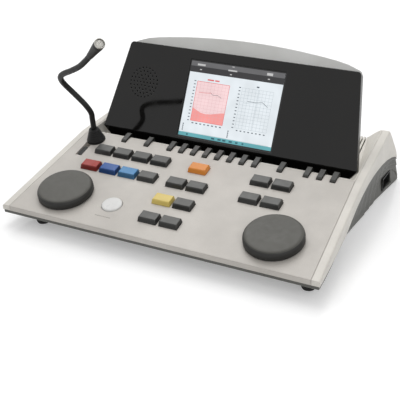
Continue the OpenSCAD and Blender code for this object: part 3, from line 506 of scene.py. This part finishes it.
# ---------------------------------------------------------------- the screen's picture
def screen_picture():
    """Two charts between a dark header and a teal bar, with marks in place of all lettering."""
    white = lit("screen_white", (226, 233, 238))
    pale = lit("screen_pale", (205, 214, 218))
    dark = lit("screen_header_dark", (48, 48, 50))
    grey = lit("screen_header_grey", (98, 98, 100))
    mark = lit("screen_header_mark", (190, 190, 190))
    pink = lit("screen_pink", (244, 212, 214))
    salmon = lit("screen_salmon", (246, 156, 152))
    red = lit("screen_red", (222, 100, 100))
    grid = lit("screen_grid", (176, 186, 192))
    grid_pink = lit("screen_grid_pink", (222, 178, 182))
    ink = lit("screen_ink", (92, 100, 108))
    teal = lit("screen_teal", (96, 168, 176))
    teal_dark = lit("screen_teal_dark", (44, 92, 104))

    def place(u, w, lift):
        return on_display(u - SCREEN_W / 2, SCREEN_LOW + w, SCREEN_N + lift)

    s = Decals(place)
    width, height = SCREEN_W, SCREEN_H
    s.rect(0, 0, width, height, 0.10, white)
    s.rect(0, height - 5.6, width, height, 0.16, grey)
    s.rect(0, height - 12.6, width, height - 5.6, 0.16, dark)
    # header: captions and the pointers under them
    for u0, u1, w0, w1 in ((8, 18, 4.6, 2.6), (47, 58, 6.2, 4.6), (94, 101, 4.8, 2.0), (51, 54, 1.4, 0.7)):
        s.rect(u0, height - w0, u1, height - w1, 0.22, mark)
    for u0, w0 in ((12, 9.6), (50, 10.4), (96, 9.4)):
        s.rect(u0, height - w0, u0 + 2.4, height - w0 + 1.1, 0.22, mark)
    # left chart
    l, r, b, t = 12.0, 52.5, 18.5, 64.0
    s.rect(l, b, r, t, 0.16, pink)
    curve = [(l, b + 15), (l + 5, b + 12.6), (l + 11, b + 10.2), (l + 17, b + 9.4), (l + 24, b + 10.2),
             (l + 31, b + 12.0), (l + 36, b + 13.2), (r, b + 13.8)]
    for (u0, w0), (u1, w1) in zip(curve, curve[1:]):
        s.quad([(u0, b), (u1, b), (u1, w1), (u0, w0)], 0.22, salmon)
    for i in range(1, 9):
        u = l + (r - l) * i / 9
        s.rect(u - 0.1, b, u + 0.1, t, 0.26, grid_pink)
    for i in range(1, 12):
        w = b + (t - b) * i / 12
        s.rect(l, w - 0.1, r, w + 0.1, 0.28, grid_pink)
    s.line([(l, b), (r, b), (r, t), (l, t), (l, b)], 0.5, 0.32, red)
    s.line([(l + 18, t - 11), (l + 22, t - 13.5), (l + 28, t - 13.0), (l + 33, t - 15.5)], 0.4, 0.34, ink)
    s.line([(l + 4, t - 12.6), (l + 14, t - 12.2), (l + 20, t - 11.4)], 0.4, 0.34, red)
    for i in range(13):
        s.rect(l - 4.2, b + (t - b) * i / 12 - 0.5, l - 2.0, b + (t - b) * i / 12 + 0.5, 0.2, ink)
    for i in range(8):
        s.rect(l + 2 + i * 5, b - 3.2, l + 4.4 + i * 5, b - 2.0, 0.2, ink)
    s.rect(l + 12, t + 2.2, l + 20, t + 3.8, 0.2, red)
    s.rect(l + 21.5, t + 2.2, l + 27, t + 3.8, 0.2, red)
    # right chart
    l, r = 68.0, 106.0
    for i in range(10):
        u = l + (r - l) * i / 9
        s.rect(u - 0.12, b, u + 0.12, t, 0.2, grid)
    for i in range(13):
        w = b + (t - b) * i / 12
        s.rect(l, w - 0.12, r, w + 0.12, 0.22, grid)
    s.line([(l + 9, t - 14.2), (l + 20, t - 14.2), (l + 27, t - 13.0), (l + 34, t - 17.4)], 0.5, 0.28, ink)
    s.line([(l + 4, t - 16.6), (l + 12, t - 16.4)], 0.3, 0.28, grid)
    s.line([(l + 20, t), (l + 20, b)], 0.35, 0.26, grid)
    for i in range(13):
        s.rect(l - 4.0, b + (t - b) * i / 12 - 0.5, l - 1.8, b + (t - b) * i / 12 + 0.5, 0.2, ink)
    for i in range(8):
        s.rect(l + 2 + i * 4.7, b - 3.2, l + 4.0 + i * 4.7, b - 2.0, 0.2, ink)
    s.rect(l + 17, t + 2.2, l + 20, t + 3.8, 0.2, ink)
    for x in (3.2, 60.2):
        for i in range(4):
            s.rect(x, 6.0 + i * 2.2, x + 1.3, 7.6 + i * 2.2, 0.2, ink)
    # lower bar
    s.rect(0, 0, width, 4.2, 0.16, teal)
    for u0, u1 in ((10, 12), (42, 46), (50, 54), (56, 60), (64, 68), (72, 75), (80, 82)):
        s.rect(u0, 1.1, u1, 3.0, 0.22, teal_dark)
    s.rect(4, 4.2, width - 4, 5.0, 0.16, pale)
    picture = s.build("screen_picture")
    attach(picture, "display")
    glass = Mat("screen_edge", rough=0.2, spec=0.5)
    glass.color(glass.drift(40, 2, 0.2, (16, 16, 16), (22, 22, 22)))
    paint(glass.mat, "lcd_module")


screen_picture()


# ---------------------------------------------------------------- microphone
def smooth_route(points, steps):
    """Catmull-Rom curve through the points, as in part.scad but finer."""
    out = []
    last = len(points) - 1
    for k in range(last):
        p0 = points[k - 1] if k else 2 * points[0] - points[1]
        p1, p2 = points[k], points[k + 1]
        p3 = points[k + 2] if k + 2 <= last else 2 * points[last] - points[last - 1]
        for i in range(steps):
            t = i / steps
            out.append(0.5 * (2 * p1 + (p2 - p0) * t + (2 * p0 - 5 * p1 + 4 * p2 - p3) * t * t
                              + (3 * p1 - p0 - 3 * p2 + p3) * t ** 3))
    out.append(points[last])
    return out


def tube(name, route, radii, sides, material):
    """Closed tube along a route, with turning-free rings."""
    rings = []
    side = Vector((1, 0.2, 0))
    for i, p in enumerate(route):
        way = (route[min(i + 1, len(route) - 1)] - route[max(i - 1, 0)]).normalized()
        side = (side - way * side.dot(way)).normalized()
        up = way.cross(side)
        rings.append([p + (side * math.cos(a) + up * math.sin(a)) * radii[i]
                      for a in (2 * math.pi * j / sides for j in range(sides))])
    points = [p for ring in rings for p in ring]
    faces = [tuple(range(sides - 1, -1, -1)), tuple(range(len(points) - sides, len(points)))]
    for i in range(len(rings) - 1):
        for j in range(sides):
            k = (j + 1) % sides
            faces.append((i * sides + j, i * sides + k, (i + 1) * sides + k, (i + 1) * sides + j))
    obj = mesh_object(name, points, faces, material, smooth=True)
    for polygon in list(obj.data.polygons)[:2]:
        polygon.use_smooth = False
    return obj


def microphone():
    seat = on_panel(NECK_U, NECK_V, NECK_H)
    points = [seat + Vector(p) * MM for p in NECK_WAY]
    route = smooth_route(points, 22)
    # fine wound ribs of the gooseneck
    radii = []
    for i in range(len(route)):
        rib = 0.5 + 0.5 * math.cos(math.pi * i)
        radii.append((NECK_D / 2 - 0.05 * rib) * MM)
    neck = tube("gooseneck", route, radii, 28, M_NECK)
    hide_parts("neck_lower", "neck_upper")
    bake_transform(neck)

    # ring that frames the mouth and a fine domed grille inside it
    mouth = points[-1] + MIC_DIR * (MIC_LEN * MM)
    side = MIC_DIR.cross(Vector((0, 0, 1))).normalized()
    up = side.cross(MIC_DIR)

    def turned(name, profile, sides, material):
        """A closed profile of (way out of the mouth, radius) in mm, turned about the head's axis."""
        pts, fcs = [], []
        for along, radius in profile:
            for j in range(sides):
                a = 2 * math.pi * j / sides
                pts.append(mouth + MIC_DIR * along * MM
                           + (side * math.cos(a) + up * math.sin(a)) * radius * MM)
        n = len(profile)
        for i in range(n):
            for j in range(sides):
                k = (j + 1) % sides
                i2 = (i + 1) % n
                fcs.append((i * sides + k, i * sides + j, i2 * sides + j, i2 * sides + k))
        return mesh_object(name, pts, fcs, material, smooth=True)

    r = MIC_D / 2
    profile = [(-0.9, r - 1.1), (0.0, r - 1.1), (0.35, r - 0.9), (0.4, r - 0.5), (0.1, r - 0.15),
               (-0.9, r + 0.06), (-2.2, r + 0.08), (-2.4, r - 0.1), (-2.0, r - 1.0)]
    ring = turned("mouth_ring", profile, 40, M_NICKEL)
    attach(ring, "mic_arm")
    mesh_mat = Mat("mouth_grille", rough=0.4, metal=0.8)
    holes = mesh_mat.add("ShaderNodeTexVoronoi")
    holes.inputs["Scale"].default_value = 1400
    mesh_mat.link(mesh_mat.coords, holes.inputs["Vector"])
    wires = mesh_mat.span(holes.outputs["Distance"], 0.25, 0.45, 0, 1)
    mesh_mat.color(mesh_mat.mix(wires, linear((70, 70, 68)), linear((200, 198, 192))))
    mesh_mat.normal(mesh_mat.bump(holes.outputs["Distance"], 0.6, 0.0002, None))
    arc = [a / 8 * math.pi / 2 for a in range(1, 9)]
    profile = [(-0.75 + 0.55 * math.cos(a), (r - 1.15) * math.sin(a)) for a in arc]
    dome = turned("mouth_mesh", [(-0.2, 0.01)] + profile + [(-0.8, r - 1.2), (-0.8, 0.01)], 36, mesh_mat.mat)
    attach(dome, "mic_arm")


microphone()


# ---------------------------------------------------------------- stage, lamps and world
FLOOR_GLOW = 0.3
FLOOR_HALF, FLOOR_Z = 6.0, -0.0002
LAMP_SIZE = 1.4


def seen_rays(tree):
    """1 for what the camera sees, also in a reflection or through glass, and 0 for the light it sheds."""
    path = tree.nodes.new("ShaderNodeLightPath")
    value = path.outputs["Is Camera Ray"]
    for name in ("Is Glossy Ray", "Is Transmission Ray"):
        most = tree.nodes.new("ShaderNodeMath")
        most.operation = "MAXIMUM"
        tree.links.new(value, most.inputs[0])
        tree.links.new(path.outputs[name], most.inputs[1])
        value = most.outputs[0]
    return value


def stage():
    """Pale floor that the camera and reflections see a little lighter than it is lit."""
    m = Mat("floor_gloss", rough=0.16, spec=0.5)
    m.color(m.drift(3, 2, 0.2, (238, 238, 239), (243, 243, 243)))
    glow = m.add("ShaderNodeEmission")
    m.link(m.math("MULTIPLY", seen_rays(m.tree), FLOOR_GLOW), glow.inputs["Strength"])
    both = m.add("ShaderNodeAddShader")
    m.link(m.bsdf.outputs[0], both.inputs[0])
    m.link(glow.outputs[0], both.inputs[1])
    m.link(both.outputs[0], m.out.inputs[0])
    corners = [(x * FLOOR_HALF, y * FLOOR_HALF, FLOOR_Z) for x, y in ((-1, -1), (1, -1), (1, 1), (-1, 1))]
    floor = mesh_object("floor", corners, [(0, 1, 2, 3)], m.mat)


stage()


def lamp(name, place, aim, power):
    """A square soft lamp that looks at a point."""
    data = bpy.data.lights.new(name, "AREA")
    data.shape = "RECTANGLE"
    data.size = data.size_y = LAMP_SIZE
    data.energy = power
    obj = bpy.data.objects.new(name, data)
    bpy.context.scene.collection.objects.link(obj)
    obj.location = place
    obj.rotation_euler = (Vector(aim) - Vector(place)).to_track_quat("-Z", "Y").to_euler()


lamp("key_lamp", (-0.5, 0.7, 1.7), (0, 0, 0), 15)
lamp("fill_lamp", (1.4, -1.2, 1.3), (0, 0, 0.05), 7)


def world():
    """White surroundings, at half strength for the light that they shed."""
    w = bpy.data.worlds.new("world")
    bpy.context.scene.world = w
    w.use_nodes = True
    tree = w.node_tree
    tree.nodes.clear()
    out = tree.nodes.new("ShaderNodeOutputWorld")
    light = tree.nodes.new("ShaderNodeBackground")
    light.inputs[0].default_value = (1, 1, 1, 1)
    light.inputs[1].default_value = 0.5
    seen = tree.nodes.new("ShaderNodeBackground")
    seen.inputs[0].default_value = (1, 1, 1, 1)
    seen.inputs[1].default_value = 1.0
    mix = tree.nodes.new("ShaderNodeMixShader")
    tree.links.new(seen_rays(tree), mix.inputs[0])
    tree.links.new(light.outputs[0], mix.inputs[1])
    tree.links.new(seen.outputs[0], mix.inputs[2])
    tree.links.new(mix.outputs[0], out.inputs[0])


world()
bpy.context.scene.view_settings.view_transform = "Standard"
